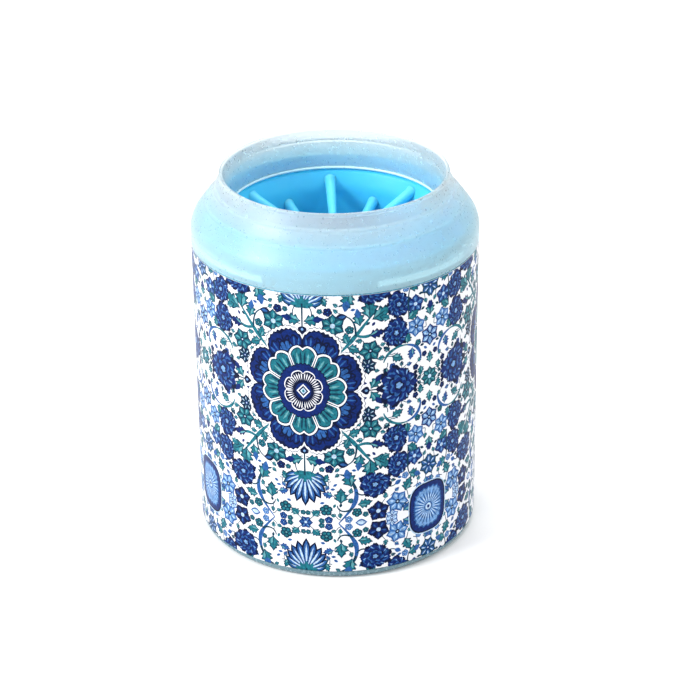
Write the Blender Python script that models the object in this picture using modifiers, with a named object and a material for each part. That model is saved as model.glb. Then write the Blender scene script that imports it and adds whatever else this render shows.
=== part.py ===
"""Paw washer cup: a cup with a printed wrap, a silicone brush insert, and a bayonet collar.

Frame: +Z up, origin at the centre of the face the cup stands on. Front is -Y. Units are metres.
Five nodes: cup_body, printed_wrap, brush_sleeve, brush_bristles, collar.
"""

import math

import bmesh
import bpy
from mathutils import Matrix, Vector

MM = 0.001

# Driving dimensions, in millimetres
OUTER_RADIUS = 52.4  # the collar's skirt, the widest part
HEIGHT = 140.0  # from the ground to the lip
SEAM_Z = 114.5  # the skirt's lower edge, where the wrap begins
GAP = 0.3  # between pieces that rest on each other

# Cup
BASE_RADIUS = 50.6
BASE_CHAMFER_Z = 1.6
BASE_EDGE_DRAFT = 0.2
CUP_RADIUS = 51.65
CUP_WALL = 1.9
CUP_FLOOR_Z = 3.5
CUP_FLOOR_FILLET = 4.0
NECK_RADIUS = 48.8
CUP_RIM_Z = 121.0
CUP_RIM_FILLET = 0.4
SHELF_Z = SEAM_Z - GAP  # where the wall steps in to the neck
SHELF_INNER_TOP = 0.8  # below the shelf, where the step's inner face ends
SHELF_INNER_LOW = 3.7  # below the shelf, where it begins

# Printed film around the cup, above the cup's own base edge
BASE_EDGE_RADIUS = 52.2
BASE_EDGE_Z = 2.8
WRAP_INNER_RADIUS = CUP_RADIUS + GAP
WRAP_OUTER_RADIUS = 52.3
WRAP_LOW_Z = BASE_EDGE_Z + GAP
WRAP_HIGH_Z = SEAM_Z - 0.4

# Brush insert: one silicone moulding as two solids, the bristles with their skin, and the sleeve behind them
FLANGE_Z = CUP_RIM_Z + GAP
FLANGE_THICK = 1.7
FLANGE_RADIUS = 49.2
PLUG_RADIUS = 46.4
PLUG_LOW_Z = 117.6
PLUG_WALL = 1.6
SLEEVE_LOW_Z = 8.0
SKIN_LOW_RADIUS = 35.2
SKIN_BEND = (36.7, 117.5)  # where the bore begins to open
SKIN_MOUTH = (38.6, 123.6)  # just under the collar's inner tube
SKIN_END = (42.4, 124.4)  # the skin's upper edge, behind the tube
SKIN_THICK = 1.2
SKIN_MOUTH_INSET = 1.25  # the skin's outer corner at the mouth, outwards
SKIN_MOUTH_DROP = 1.1  # and downwards
SLEEVE_LOW_WALL = 1.5
SLEEVE_TOP = (40.2, 118.4)  # the sleeve's outer face, where the flange's web meets it
LIP_MIDDLE_RADIUS = 44.3
LIP_THICK = 1.8
LIP_Z = 128.2

# Bristles: staggered rows, each bristle leaning down towards the axis
BRISTLE_COLUMNS = 7
BRISTLE_ROWS = 14
BRISTLE_TOP_Z = 119.9
BRISTLE_PITCH = 7.25
BRISTLE_LENGTH = 20.0
BRISTLE_ROOT_RADIUS = 2.0
BRISTLE_TIP_RADIUS = 1.5
BRISTLE_SIDES = 6
BRISTLE_DROOP = math.radians(19)
BRISTLE_PHASE = math.radians(-2.5)

# Collar
NECK_TOP_Z = 138.5
LIP_RADIUS = 41.5
TUBE_TOP_RADIUS = 40.2
TUBE_LOW_RADIUS = 38.4
TUBE_LOW_Z = 125.0
TUBE_WALL = 1.2
COLLAR_WALL = 1.5
SKIRT_TOP_Z = 118.7
SHOULDER_HANDLES = ((45.1, 128.4), (OUTER_RADIUS, 125.9))
LIP_STEP = 0.5  # the neck stands this much inside the lip's bead
LIP_BEAD_Z = 138.9
SHOULDER_WEB = 4.0  # below the neck's top, where the shoulder's inside begins
TUBE_JOINT_RADIUS = 40.68  # the tube's outer face where it meets the shoulder's inside
TUBE_JOINT_DROP = 0.6

# Bayonet: four lugs on the cup's neck and four inside the skirt. At rest they stand side by side, so
# the collar lifts off. A clockwise turn of 42 degrees brings the collar's lugs under the cup's.
LUGS = 4
COLLAR_LUG_CENTRE = math.radians(38.5)
COLLAR_LUG_HALF = math.radians(22)
COLLAR_LUG_RADII = (49.3, 51.6)
COLLAR_LUG_Z = (116.3, 118.4)
CUP_LUG_FROM = math.radians(-28.5)
CUP_LUG_TO = math.radians(15)
CUP_LUG_RADII = (47.9, 50.3)
CUP_LUG_Z = (118.8, 120.5)
STOP_LEG_WIDTH = math.radians(2.4)
STOP_LEG_Z = (115.6, 119.4)

# Fineness
TURN_STEPS = 48
SHOULDER_STEPS = 9
ARC_STEPS = 8

PLASTIC_BLUE = (0.42, 0.62, 0.70, 1)
SILICONE_BLUE = (0.06, 0.50, 0.85, 1)
FROSTED = (0.80, 0.88, 0.90, 1)
FILM_WHITE = (0.88, 0.90, 0.94, 1)


def clear_scene():
    for obj in list(bpy.data.objects):
        bpy.data.objects.remove(obj)


def new_collection(name):
    made = bpy.data.collections.new(name)
    bpy.context.scene.collection.children.link(made)
    return made


def material(name, colour, roughness):
    made = bpy.data.materials.new(name)
    made.use_nodes = True
    shader = made.node_tree.nodes["Principled BSDF"]
    shader.inputs["Base Color"].default_value = colour
    shader.inputs["Roughness"].default_value = roughness
    shader.inputs["Metallic"].default_value = 0.0
    return made


def place(obj, collection, mat=None):
    collection.objects.link(obj)
    if mat:
        obj.data.materials.append(mat)
    return obj


def as_cutter(obj):
    obj.hide_render = True
    obj.display_type = "WIRE"
    return obj


def bezier(p0, p1, p2, p3, count):
    """count + 1 points on a cubic curve in the (radius, z) plane."""
    points = []
    for i in range(count + 1):
        t = i / count
        s = 1 - t
        weights = (s**3, 3 * s * s * t, 3 * s * t * t, t**3)
        radius = sum(w * p[0] for w, p in zip(weights, (p0, p1, p2, p3)))
        z = sum(w * p[1] for w, p in zip(weights, (p0, p1, p2, p3)))
        points.append((radius, z))
    return points


def offset_inward(points, distance):
    """The curve moved towards the axis along its own normal; the points run top to bottom."""
    moved = []
    for i, (radius, z) in enumerate(points):
        before = points[max(i - 1, 0)]
        after = points[min(i + 1, len(points) - 1)]
        along = Vector((after[0] - before[0], after[1] - before[1])).normalized()
        moved.append((radius + along.y * distance, z - along.x * distance))
    return moved


def rounded(points, closed=False, steps=2):
    """A profile with arcs at its corners. Each point is (radius, z) or (radius, z, fillet radius)."""
    made = []
    last = len(points) - 1
    for i, point in enumerate(points):
        corner = Vector(point[:2])
        fillet = point[2] if len(point) > 2 else 0
        if not fillet or (not closed and i in (0, last)):
            made.append(tuple(corner))
            continue
        back = (Vector(points[i - 1][:2]) - corner).normalized()
        ahead = (Vector(points[(i + 1) % len(points)][:2]) - corner).normalized()
        half = back.angle(ahead) / 2
        reach = fillet / math.tan(half)
        centre = corner + (back + ahead).normalized() * (fillet / math.sin(half))
        start = corner + back * reach - centre
        end = corner + ahead * reach - centre
        for k in range(steps + 1):
            spoke = start.slerp(end, k / steps) * fillet  # slerp gives a unit vector
            made.append(tuple(centre + spoke))
    return made


def turned(name, profile, closed=False):
    """A solid of revolution about Z. An open profile starts and ends on the axis."""
    verts = [(radius * MM, 0, z * MM) for radius, z in profile]
    edges = [(i, i + 1) for i in range(len(verts) - 1)]
    if closed:
        edges.append((len(verts) - 1, 0))
    mesh = bpy.data.meshes.new(name)
    mesh.from_pydata(verts, edges, [])
    obj = bpy.data.objects.new(name, mesh)
    screw = obj.modifiers.new("Turn", "SCREW")
    screw.axis = "Z"
    screw.steps = TURN_STEPS
    screw.render_steps = TURN_STEPS
    screw.use_merge_vertices = True
    screw.merge_threshold = 0.00001
    screw.use_smooth_shade = True
    return obj


def arc_bar(name, radii, z_range, start, end, steps=ARC_STEPS):
    """A flat curved bar between two radii and two angles from the front, as a closed mesh."""
    curve = bpy.data.curves.new(name, "CURVE")
    curve.dimensions = "2D"
    curve.fill_mode = "BOTH"
    curve.extrude = (z_range[1] - z_range[0]) / 2 * MM
    angles = [start + (end - start) * k / steps for k in range(steps + 1)]
    outline = [(radii[1], a) for a in angles] + [(radii[0], a) for a in reversed(angles)]
    spline = curve.splines.new("POLY")
    spline.points.add(len(outline) - 1)
    for point, (radius, a) in zip(spline.points, outline):
        point.co = (radius * MM * math.sin(a), -radius * MM * math.cos(a), 0, 1)
    spline.use_cyclic_u = True
    drawn = bpy.data.objects.new(name, curve)
    drawn.location.z = sum(z_range) / 2 * MM
    bpy.context.scene.collection.objects.link(drawn)
    bpy.context.view_layer.update()
    graph = bpy.context.evaluated_depsgraph_get()
    mesh = bpy.data.meshes.new_from_object(drawn.evaluated_get(graph))
    mesh.transform(drawn.matrix_world)
    bpy.data.objects.remove(drawn)
    bm = bmesh.new()
    bm.from_mesh(mesh)
    bmesh.ops.remove_doubles(bm, verts=bm.verts, dist=0.000001)
    bmesh.ops.recalc_face_normals(bm, faces=bm.faces)
    bm.to_mesh(mesh)
    bm.free()
    return mesh


def gathered(name, meshes):
    """One object that holds several separate closed meshes, as the operand of a union."""
    bm = bmesh.new()
    for mesh in meshes:
        bm.from_mesh(mesh)
    whole = bpy.data.meshes.new(name)
    bm.to_mesh(whole)
    bm.free()
    return bpy.data.objects.new(name, whole)


def unite(obj, operand):
    union = obj.modifiers.new("Union", "BOOLEAN")
    union.operation = "UNION"
    union.solver = "EXACT"
    union.object = operand
    return obj


def cup_body(cutters):
    """The cup: a floor, a straight wall over a wider base edge, and a neck with four bayonet lugs."""
    inner_radius = CUP_RADIUS - CUP_WALL
    neck_inner = NECK_RADIUS - CUP_WALL
    profile = [
        (0, CUP_FLOOR_Z),
        (inner_radius, CUP_FLOOR_Z, CUP_FLOOR_FILLET),
        (inner_radius, SHELF_Z - SHELF_INNER_LOW),
        (neck_inner, SHELF_Z - SHELF_INNER_TOP),
        (neck_inner, CUP_RIM_Z, CUP_RIM_FILLET),
        (NECK_RADIUS, CUP_RIM_Z, CUP_RIM_FILLET),
        (NECK_RADIUS, SHELF_Z),
        (CUP_RADIUS, SHELF_Z),
        (CUP_RADIUS, BASE_EDGE_Z),
        (BASE_EDGE_RADIUS, BASE_EDGE_Z),
        (BASE_EDGE_RADIUS - BASE_EDGE_DRAFT, BASE_CHAMFER_Z, 1.0),
        (BASE_RADIUS, 0),
        (0, 0),
    ]
    cup = turned("cup_body", rounded(profile))
    bars = []
    for k in range(LUGS):
        turn = 2 * math.pi * k / LUGS
        start = CUP_LUG_FROM + turn
        end = CUP_LUG_TO + turn
        bars.append(arc_bar("lug", CUP_LUG_RADII, CUP_LUG_Z, start, end))
        bars.append(arc_bar("stop", CUP_LUG_RADII, STOP_LEG_Z, start, start + STOP_LEG_WIDTH, steps=1))
    bars_joined = merge_touching("cup_lugs", bars)
    place(as_cutter(bars_joined), cutters)
    return unite(cup, bars_joined)


def merge_touching(name, meshes):
    """Overlapping bars in pairs (a lug and its stop leg), each pair joined by a Boolean union."""
    pieces = []
    for lug, leg in zip(meshes[::2], meshes[1::2]):
        base = bpy.data.objects.new("pair", lug)
        extra = bpy.data.objects.new("leg", leg)
        for obj in (base, extra):
            bpy.context.scene.collection.objects.link(obj)
        unite(base, extra)
        bpy.context.view_layer.update()
        graph = bpy.context.evaluated_depsgraph_get()
        pieces.append(bpy.data.meshes.new_from_object(base.evaluated_get(graph)))
        for obj in (base, extra):
            bpy.data.objects.remove(obj)
    return gathered(name, pieces)


def printed_wrap():
    """The printed film sleeve around the cup's wall."""
    profile = [
        (WRAP_OUTER_RADIUS, WRAP_HIGH_Z),
        (WRAP_OUTER_RADIUS, WRAP_LOW_Z),
        (WRAP_INNER_RADIUS, WRAP_LOW_Z),
        (WRAP_INNER_RADIUS, WRAP_HIGH_Z),
    ]
    return turned("printed_wrap", profile, closed=True)


def bristle_mesh(length, root_radius, tip_radius):
    """A tapered bristle along +Z from its root at the origin, with a chamfered tip."""
    bm = bmesh.new()
    sizes = {"radius1": root_radius * MM, "radius2": tip_radius * MM, "depth": length * MM}
    bmesh.ops.create_cone(bm, cap_ends=True, segments=BRISTLE_SIDES, **sizes)
    bmesh.ops.translate(bm, verts=bm.verts, vec=(0, 0, length / 2 * MM))
    tip = [e for e in bm.edges if all(v.co.z > length * 0.9 * MM for v in e.verts)]
    bmesh.ops.bevel(bm, geom=tip, offset=tip_radius * 0.5 * MM, segments=1, affect="EDGES")
    mesh = bpy.data.meshes.new("bristle")
    bm.to_mesh(mesh)
    bm.free()
    return mesh


def skin_inner_radius(z):
    """The insert's bore tapers in a straight line from its lower end to its bend, and on to its mouth."""
    low, high = (SKIN_LOW_RADIUS, SLEEVE_LOW_Z), SKIN_BEND
    if z > SKIN_BEND[1]:
        low, high = SKIN_BEND, SKIN_MOUTH
    return low[0] + (high[0] - low[0]) * (z - low[1]) / (high[1] - low[1])


def bristle_matrices():
    """Where each bristle stands: staggered rows around the wall, each leaning down towards the axis."""
    embed = SKIN_THICK / 2
    for row in range(BRISTLE_ROWS):
        z = BRISTLE_TOP_Z - BRISTLE_PITCH * row
        for column in range(BRISTLE_COLUMNS):
            angle = BRISTLE_PHASE + 2 * math.pi * (column + row % 2 / 2) / BRISTLE_COLUMNS
            outward = Vector((math.sin(angle), math.cos(angle), 0))
            radius = skin_inner_radius(z - BRISTLE_ROOT_RADIUS) + embed
            root = outward * radius + Vector((0, 0, z))
            aim = -outward * math.cos(BRISTLE_DROOP) - Vector((0, 0, math.sin(BRISTLE_DROOP)))
            turn = aim.to_track_quat("Z", "Y").to_matrix().to_4x4()
            yield Matrix.Translation(root * MM) @ turn


def brush_sleeve():
    """The insert's outer part: an open-ended sleeve, a lip, a flange, and a plug below it."""
    behind = SKIN_THICK + GAP
    lip_half = LIP_THICK / 2
    flange_top = FLANGE_Z + FLANGE_THICK
    pocket_radius = SKIN_END[0] + GAP
    profile = [
        (SKIN_LOW_RADIUS + behind, SLEEVE_LOW_Z),
        (SKIN_BEND[0] + behind, SKIN_BEND[1] - GAP, 7.0),
        (SKIN_MOUTH[0] + SKIN_MOUTH_INSET + GAP, SKIN_MOUTH[1] - SKIN_MOUTH_DROP - GAP, 0.6),
        (pocket_radius, SKIN_END[1] - behind),
        (pocket_radius, SKIN_END[1]),
        (LIP_MIDDLE_RADIUS - lip_half, LIP_Z, 0.5),
        (LIP_MIDDLE_RADIUS + lip_half, LIP_Z, 0.6),
        (LIP_MIDDLE_RADIUS + lip_half, flange_top),
        (FLANGE_RADIUS, flange_top, 0.4),
        (FLANGE_RADIUS, FLANGE_Z, 0.4),
        (PLUG_RADIUS, FLANGE_Z),
        (PLUG_RADIUS, PLUG_LOW_Z, 0.5),
        (PLUG_RADIUS - PLUG_WALL, PLUG_LOW_Z, 0.5),
        (PLUG_RADIUS - PLUG_WALL, FLANGE_Z),
        (*SLEEVE_TOP, 1.0),
        (SKIN_LOW_RADIUS + behind + SLEEVE_LOW_WALL, SLEEVE_LOW_Z),
    ]
    return turned("brush_sleeve", rounded(profile, closed=True), closed=True)


def brush_bristles(cutters):
    """The insert's inner part: the bristles, on the skin that lines the sleeve and its mouth."""
    end_radius, end_z = SKIN_END
    profile = [
        (SKIN_LOW_RADIUS, SLEEVE_LOW_Z),
        (*SKIN_BEND, 8.0),
        (*SKIN_MOUTH, 0.8),
        (end_radius, end_z),
        (end_radius, end_z - SKIN_THICK),
        (SKIN_MOUTH[0] + SKIN_MOUTH_INSET, SKIN_MOUTH[1] - SKIN_MOUTH_DROP, 0.6),
        (SKIN_BEND[0] + SKIN_THICK, SKIN_BEND[1], 7.0),
        (SKIN_LOW_RADIUS + SKIN_THICK, SLEEVE_LOW_Z),
    ]
    skin = turned("brush_bristles", rounded(profile, closed=True), closed=True)
    length = BRISTLE_LENGTH + SKIN_THICK / 2
    shape = bristle_mesh(length, BRISTLE_ROOT_RADIUS, BRISTLE_TIP_RADIUS)
    bristles = []
    for matrix in bristle_matrices():
        copy = shape.copy()
        copy.transform(matrix)
        bristles.append(copy)
    operand = gathered("bristles", bristles)
    place(as_cutter(operand), cutters)
    return unite(skin, operand)


def collar(cutters):
    """The frosted collar: a lip, an inner tube, a curved shoulder, and a skirt with four inward lugs."""
    neck = (LIP_RADIUS - LIP_STEP, NECK_TOP_Z)
    shoulder = bezier(neck, *SHOULDER_HANDLES, (OUTER_RADIUS, SKIRT_TOP_Z), SHOULDER_STEPS)
    whole_inside = offset_inward(shoulder, COLLAR_WALL)
    inside = [point for point in whole_inside if point[1] < NECK_TOP_Z - SHOULDER_WEB]
    profile = [(LIP_RADIUS, HEIGHT, 0.6), (LIP_RADIUS, LIP_BEAD_Z, 0.3)]
    profile += shoulder
    profile += [(OUTER_RADIUS, SEAM_Z, 0.5), (OUTER_RADIUS - COLLAR_WALL, SEAM_Z, 0.4)]
    profile += list(reversed(inside))
    profile += [
        (TUBE_JOINT_RADIUS, inside[0][1] - TUBE_JOINT_DROP),
        (TUBE_LOW_RADIUS + TUBE_WALL, TUBE_LOW_Z, 0.5),
        (TUBE_LOW_RADIUS, TUBE_LOW_Z, 0.5),
        (TUBE_TOP_RADIUS, HEIGHT, 0.6),
    ]
    made = turned("collar", rounded(profile, closed=True), closed=True)
    bars = []
    for k in range(LUGS):
        middle = COLLAR_LUG_CENTRE + 2 * math.pi * k / LUGS
        start = middle - COLLAR_LUG_HALF
        end = middle + COLLAR_LUG_HALF
        bars.append(arc_bar("lug", COLLAR_LUG_RADII, COLLAR_LUG_Z, start, end))
    operand = gathered("collar_lugs", bars)
    place(as_cutter(operand), cutters)
    return unite(made, operand)


def main():
    clear_scene()
    parts = new_collection("paw_washer_cup")
    cutters = new_collection("operands")
    plastic = material("tinted plastic", PLASTIC_BLUE, 0.35)
    silicone = material("blue silicone", SILICONE_BLUE, 0.45)
    frosted = material("frosted plastic", FROSTED, 0.3)
    film = material("printed film", FILM_WHITE, 0.3)
    place(cup_body(cutters), parts, plastic)
    place(printed_wrap(), parts, film)
    place(brush_sleeve(), parts, silicone)
    place(brush_bristles(cutters), parts, silicone)
    place(collar(cutters), parts, frosted)


main()
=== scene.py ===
"""Looks of the paw washer cup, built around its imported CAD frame.

Lengths are in millimetres, as in the design, and become metres when a mesh is made. Only the stage, which is
the camera, the floor and the lights, is given in metres.
The print on the film is a floral pattern of this script's own, drawn as polygons, cut into one flat sheet
and rolled round the cup.
"""

import math
import random

import bmesh
import bpy
import numpy as np
from mathutils import Matrix, Vector
from mathutils.geometry import delaunay_2d_cdt


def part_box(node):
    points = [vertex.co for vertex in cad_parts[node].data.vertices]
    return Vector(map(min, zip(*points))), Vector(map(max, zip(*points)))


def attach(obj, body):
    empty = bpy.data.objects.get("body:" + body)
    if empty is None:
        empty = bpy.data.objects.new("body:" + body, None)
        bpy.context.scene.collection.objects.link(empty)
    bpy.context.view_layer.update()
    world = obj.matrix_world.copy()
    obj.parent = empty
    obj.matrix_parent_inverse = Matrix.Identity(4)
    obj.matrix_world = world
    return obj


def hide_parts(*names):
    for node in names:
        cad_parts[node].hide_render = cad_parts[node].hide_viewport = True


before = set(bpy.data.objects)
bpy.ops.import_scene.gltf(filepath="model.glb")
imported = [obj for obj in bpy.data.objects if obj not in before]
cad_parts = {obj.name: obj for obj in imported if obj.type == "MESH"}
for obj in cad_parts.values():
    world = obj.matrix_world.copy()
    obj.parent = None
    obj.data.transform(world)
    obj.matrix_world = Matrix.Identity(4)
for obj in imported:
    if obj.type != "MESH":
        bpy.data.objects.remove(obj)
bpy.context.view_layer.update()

MM = 0.001
TAU = 2 * math.pi


def reach(node):
    """(largest radius, lowest z, highest z) of a CAD node, in millimetres."""
    low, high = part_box(node)
    return high[0] / MM, low[2] / MM, high[2] / MM


COLLAR_RADIUS, SEAM_Z, TOP_Z = reach("collar")
WRAP_RADIUS, WRAP_LOW_Z, WRAP_HIGH_Z = reach("printed_wrap")
CUP_EDGE_RADIUS, BASE_Z, CUP_RIM_Z = reach("cup_body")
FLANGE_RADIUS, SLEEVE_LOW_Z, INSERT_LIP_Z = reach("brush_sleeve")

# Turned pieces, as in the design
TURN_STEPS = 192
SHOULDER_STEPS = 90
GAP = 0.3  # between pieces that rest on each other
CUP_WALL_RADIUS = 51.65
CUP_WALL = 1.9
NECK_RADIUS = 48.8
BASE_EDGE_Z = 2.8
BASE_FLAT_RADIUS = 50.6
BASE_FILLET_Z = 1.6
BASE_EDGE_DRAFT = 0.2
CUP_FLOOR_Z = 3.5
SHELF_Z = SEAM_Z - GAP
SHELF_INNER_TOP = 0.8  # below the shelf, where the step's inner face ends
SHELF_INNER_LOW = 3.7  # below the shelf, where it begins
WRAP_THICK = 0.3
FLANGE_Z = CUP_RIM_Z + GAP
FLANGE_THICK = 1.7
PLUG_RADIUS = 46.4
PLUG_LOW_Z = 117.6
PLUG_WALL = 1.6
SLEEVE_LOW_RADIUS = 35.2
SLEEVE_BEND = (36.7, 117.5)
SLEEVE_MOUTH = (38.6, 123.6)
SLEEVE_TOP = (40.2, 118.4)
SLEEVE_WALL = 2.8
INSERT_LIP_RADIUS = 44.3
INSERT_LIP_THICK = 1.8
LIP_FOOT_WIDTH = 0.4  # from the lip's inner face towards the axis
LIP_FOOT_RISE = 0.9  # above the sleeve's mouth
COLLAR_WALL = 1.5
RIM_RADIUS = 41.5
RIM_STEP = 0.5  # the neck stands this much inside the rim's bead
RIM_BEAD_RISE = 0.4  # above the neck's top, where the bead begins
NECK_TOP_Z = 138.5
TUBE_TOP_RADIUS = 40.2
TUBE_LOW_RADIUS = 38.4
TUBE_LOW_Z = 125.0
TUBE_WALL = 1.2
SKIRT_TOP_Z = 118.7
TUBE_JOINT_SHARE = 0.6
TUBE_JOINT_DROP = 0.6
TUBE_BEAD = (0.8, 0.6)
TUBE_BEAD_LIFT = 0.05
SHOULDER_WEB = 4  # below the neck's top, where the shoulder's inside begins
SHOULDER_HANDLES = ((45.1, 128.4), (COLLAR_RADIUS, 125.9))
SHOULDER_BEADS = (134.3, 129.4)
SHOULDER_BEAD_WIDTH = 0.4
SHOULDER_BEAD_LIFT = (0.22, 0.1)

# Bayonet lugs: first and last angle from the front, inner and outer radius, lowest and highest point
LUGS = 4
COLLAR_LUG = (math.radians(16.5), math.radians(60.5), 49.3, 51.6, 116.3, 118.4)
CUP_LUG = (math.radians(-28.5), math.radians(15), 47.9, 50.3, 118.8, 120.5)
STOP_LEG = (math.radians(-28.5), math.radians(-26.1), 47.9, 50.3, 115.6, 119.4)

# Bristles
BRISTLE_COLUMNS = 7
BRISTLE_ROWS = 14
BRISTLE_TOP_Z = 119.9
BRISTLE_PITCH = 7.25
BRISTLE_LENGTH = 20.0
BRISTLE_DROOP = math.radians(19)
BRISTLE_PHASE = math.radians(-2.5)
BRISTLE_EMBED = 1.6
BRISTLE_ROOT_RADIUS = 2
BRISTLE_STEM_RADIUS = 1.9
BRISTLE_MIDDLE = (1.72, 0.55)  # a radius, and its place as a share of the length
BRISTLE_TIP = 1.5
FLARE_WIDTH = 0.5  # how much wider the root is than the stem
FLARE_LENGTH = 4.0


# ---------------------------------------------------------------- materials


def srgb(red, green, blue):
    """A linear colour from 8-bit screen values."""
    made = []
    for value in (red, green, blue):
        v = value / 255
        made.append(v / 12.92 if v <= 0.04045 else ((v + 0.055) / 1.055) ** 2.4)
    return (*made, 1.0)


def new_material(name, **inputs):
    """A Principled material; underscores in the input names stand for spaces."""
    made = bpy.data.materials.new(name)
    made.use_nodes = True
    shader = made.node_tree.nodes["Principled BSDF"]
    for key, value in inputs.items():
        shader.inputs[key.replace("_", " ")].default_value = value
    return made, made.node_tree, shader


def noise(tree, scale, detail=3.0):
    """Noise in object space, whose scale is in cycles per metre."""
    coordinates = tree.nodes.new("ShaderNodeTexCoord")
    made = tree.nodes.new("ShaderNodeTexNoise")
    made.inputs["Scale"].default_value = scale
    made.inputs["Detail"].default_value = detail
    tree.links.new(coordinates.outputs["Object"], made.inputs["Vector"])
    return made.outputs["Fac"]


def remap(tree, value, low, high):
    """A noise value spread over a range."""
    made = tree.nodes.new("ShaderNodeMapRange")
    made.inputs["From Min"].default_value = 0.3
    made.inputs["From Max"].default_value = 0.7
    made.inputs["To Min"].default_value = low
    made.inputs["To Max"].default_value = high
    tree.links.new(value, made.inputs["Value"])
    return made.outputs["Result"]


def tinted(tree, factor, first, second):
    made = tree.nodes.new("ShaderNodeMix")
    made.data_type = "RGBA"
    for socket, colour in (("A", first), ("B", second)):
        if isinstance(colour, tuple):
            made.inputs[socket].default_value = colour
        else:
            tree.links.new(colour, made.inputs[socket])
    tree.links.new(factor, made.inputs["Factor"])
    return made.outputs["Result"]


def height_share(tree, low, high):
    """A value that runs from 0 to 1 between two heights, in millimetres."""
    coordinates = tree.nodes.new("ShaderNodeTexCoord")
    split = tree.nodes.new("ShaderNodeSeparateXYZ")
    tree.links.new(coordinates.outputs["Object"], split.inputs["Vector"])
    made = tree.nodes.new("ShaderNodeMapRange")
    made.inputs["From Min"].default_value = low * MM
    made.inputs["From Max"].default_value = high * MM
    tree.links.new(split.outputs["Z"], made.inputs["Value"])
    return made.outputs["Result"]


def bump(tree, shader, height, strength, distance):
    made = tree.nodes.new("ShaderNodeBump")
    made.inputs["Strength"].default_value = strength
    made.inputs["Distance"].default_value = distance
    tree.links.new(height, made.inputs["Height"])
    tree.links.new(made.outputs["Normal"], shader.inputs["Normal"])


def frosted_material(name, see_through):
    """Cloudy milky plastic: rough see-through with a fine moulded grain and a painted glow. Its colour is
    painted bluer below the neck, in place of the blue insert's light seen through it.
    """
    made, tree, shader = new_material(name, Transmission_Weight=see_through, IOR=1.3)
    cloud = noise(tree, 60.0)
    # painted glow: a cyan tint on the lower collar that fades out between 128 and 137 mm, standing in for the
    # insert's blue light
    painted_insert_glow = tinted(tree, cloud, srgb(206, 240, 250), srgb(216, 245, 252))
    clear = tinted(tree, cloud, srgb(231, 242, 245), srgb(239, 247, 249))
    colour = tinted(tree, height_share(tree, 128.0, 137.0), painted_insert_glow, clear)
    tree.links.new(colour, shader.inputs["Base Color"])
    tree.links.new(remap(tree, noise(tree, 900.0), 0.26, 0.36), shader.inputs["Roughness"])
    bump(tree, shader, noise(tree, 2600.0), 0.1, 0.0001)
    return made


def silicone_material(name, first, second):
    """Soft satin silicone that glows a little, with the faint dusty variation of a moulded skin."""
    made, tree, shader = new_material(
        name,
        IOR=1.42,
        Subsurface_Weight=0.6,
        Subsurface_Scale=0.004,
        Subsurface_Radius=(0.4, 0.8, 1.0),
    )
    tree.links.new(tinted(tree, noise(tree, 70.0), first, second), shader.inputs["Base Color"])
    tree.links.new(remap(tree, noise(tree, 500.0), 0.4, 0.55), shader.inputs["Roughness"])
    bump(tree, shader, noise(tree, 1800.0), 0.1, 0.0001)
    return made


def cup_material():
    """Smooth translucent plastic: a light cyan wall, painted darker and greyer towards the base as painted
    shade of the thick bottom.
    """
    made, tree, shader = new_material("cup_plastic", IOR=1.46, Transmission_Weight=0.3)
    wall = tinted(tree, noise(tree, 50.0), srgb(118, 212, 240), srgb(136, 222, 246))
    # painted shade: the wall colour fades to a dark grey-blue below 30 mm and is darkest under 4 mm
    colour = tinted(tree, height_share(tree, 4.0, 30.0), srgb(114, 148, 160), wall)
    tree.links.new(colour, shader.inputs["Base Color"])
    tree.links.new(remap(tree, noise(tree, 700.0), 0.2, 0.32), shader.inputs["Roughness"])
    bump(tree, shader, noise(tree, 1500.0), 0.06, 0.0001)
    return made


def print_material():
    """Printed film: the drawing's own colours, with its inks broken up like brushwork, under a thin gloss."""
    made, tree, shader = new_material("printed_film", Specular_IOR_Level=0.08)
    drawing = tree.nodes.new("ShaderNodeVertexColor")
    drawing.layer_name = "print"
    wash = tree.nodes.new("ShaderNodeHueSaturation")
    tree.links.new(remap(tree, noise(tree, 1100.0, 4.0), 0.62, 1.4), wash.inputs["Value"])
    tree.links.new(drawing.outputs["Color"], wash.inputs["Color"])
    inked = tree.nodes.new("ShaderNodeMix")
    inked.data_type = "RGBA"
    tree.links.new(drawing.outputs["Alpha"], inked.inputs["Factor"])
    tree.links.new(drawing.outputs["Color"], inked.inputs["A"])
    tree.links.new(wash.outputs["Color"], inked.inputs["B"])
    tree.links.new(inked.outputs["Result"], shader.inputs["Base Color"])
    tree.links.new(remap(tree, noise(tree, 900.0), 0.3, 0.4), shader.inputs["Roughness"])
    bump(tree, shader, noise(tree, 300.0), 0.05, 0.0002)
    return made


# ---------------------------------------------------------------- shape helpers


def bezier(p0, p1, p2, p3, count):
    """Points along a cubic curve, its ends included."""
    points = []
    for i in range(count + 1):
        t = i / count
        s = 1 - t
        weights = (s**3, 3 * s * s * t, 3 * s * t * t, t**3)
        points.append(tuple(sum(w * p[k] for w, p in zip(weights, (p0, p1, p2, p3))) for k in range(2)))
    return points


def offset_inward(points, distance):
    """The profile moved towards the axis and down, square to its own run."""
    moved = []
    for i, (radius, z) in enumerate(points):
        before = points[max(i - 1, 0)]
        after = points[min(i + 1, len(points) - 1)]
        along = Vector((after[0] - before[0], after[1] - before[1])).normalized()
        moved.append((radius + along.y * distance, z - along.x * distance))
    return moved


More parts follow.
